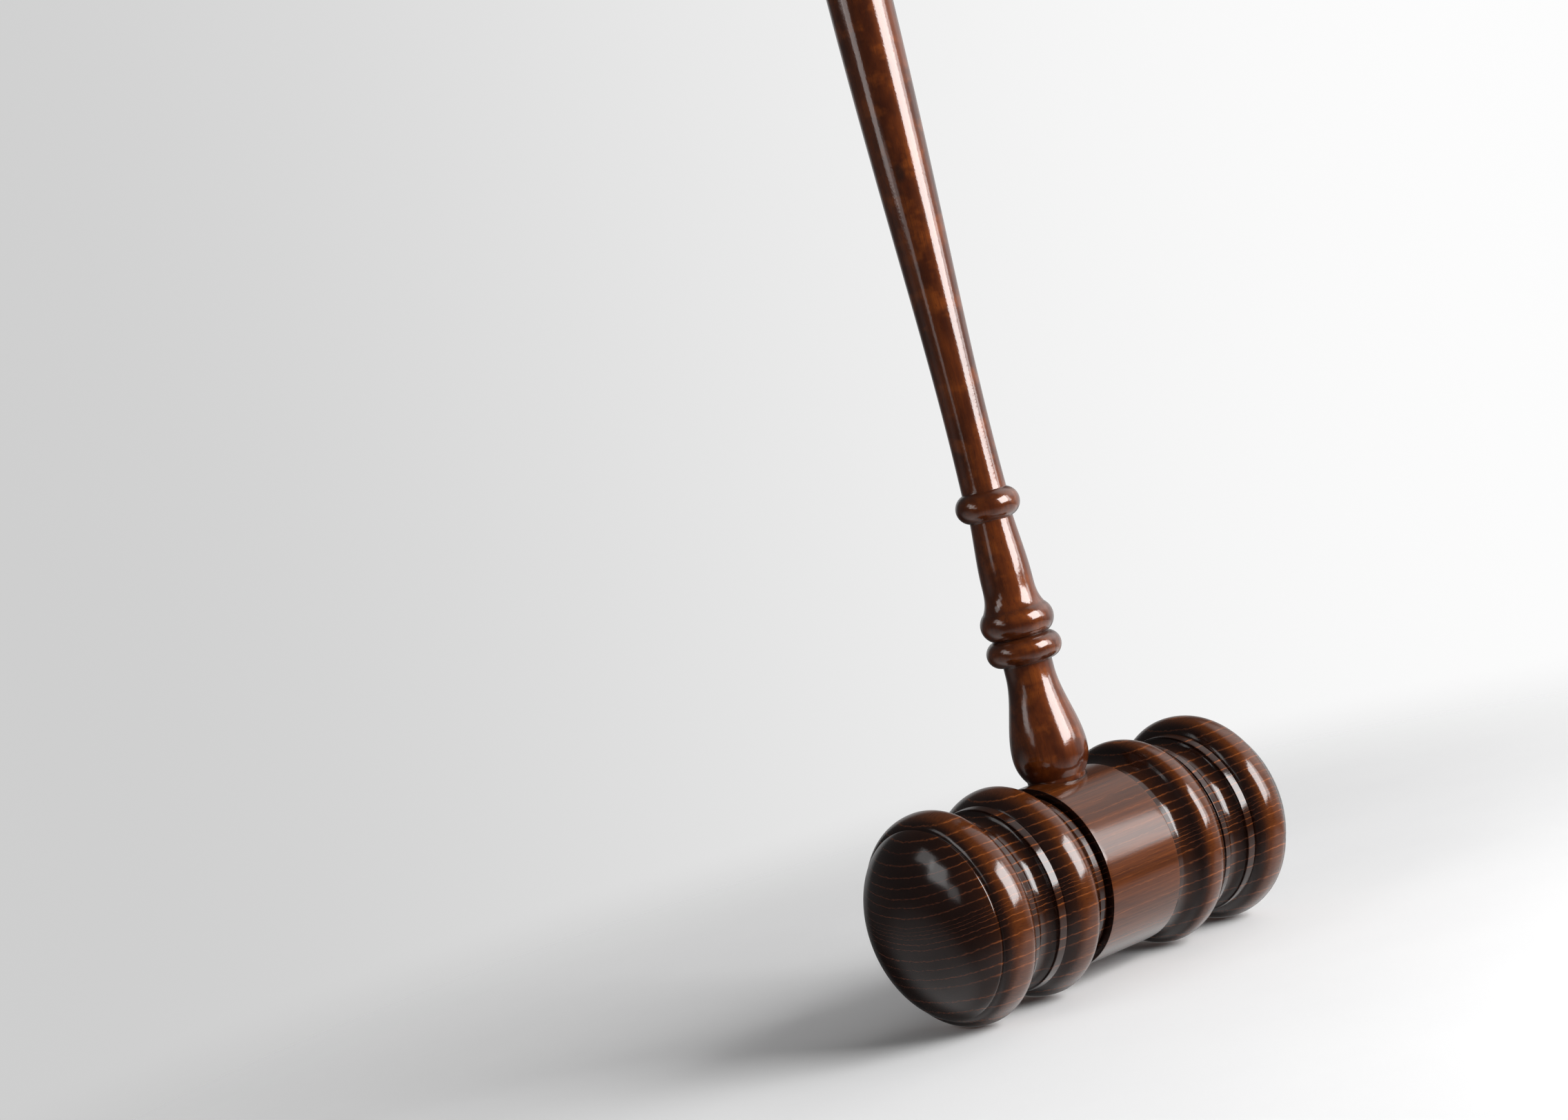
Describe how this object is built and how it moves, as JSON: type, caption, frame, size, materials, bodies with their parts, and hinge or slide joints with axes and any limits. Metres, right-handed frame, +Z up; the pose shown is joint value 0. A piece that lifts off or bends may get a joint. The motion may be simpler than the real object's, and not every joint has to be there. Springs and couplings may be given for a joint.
{
  "type": "oversized wooden gavel",
  "caption": "Large turned wooden gavel: a ringed, domed head bedded on a long swelling handle with turned beads, joined by a glued and wedged tenon.",
  "frame": {"origin": "on the floor under the middle of the head, below the handle's axis", "axes": "+Z up along the handle, +X along the head from one domed face to the other, +Y across both"},
  "size_m": [0.2752, 0.125, 0.8125],
  "materials": {
    "head_wood": "dark chocolate stained softwood with lighter orange growth lines, gloss lacquer",
    "handle_wood": "reddish brown stained fine-grained hardwood, gloss lacquer",
    "wedge_wood": "bare dry hardwood"
  },
  "bodies": {
    "root": {"head": "head_wood", "handle": "handle_wood", "wedge": "wedge_wood"}
  },
  "joints": []
}
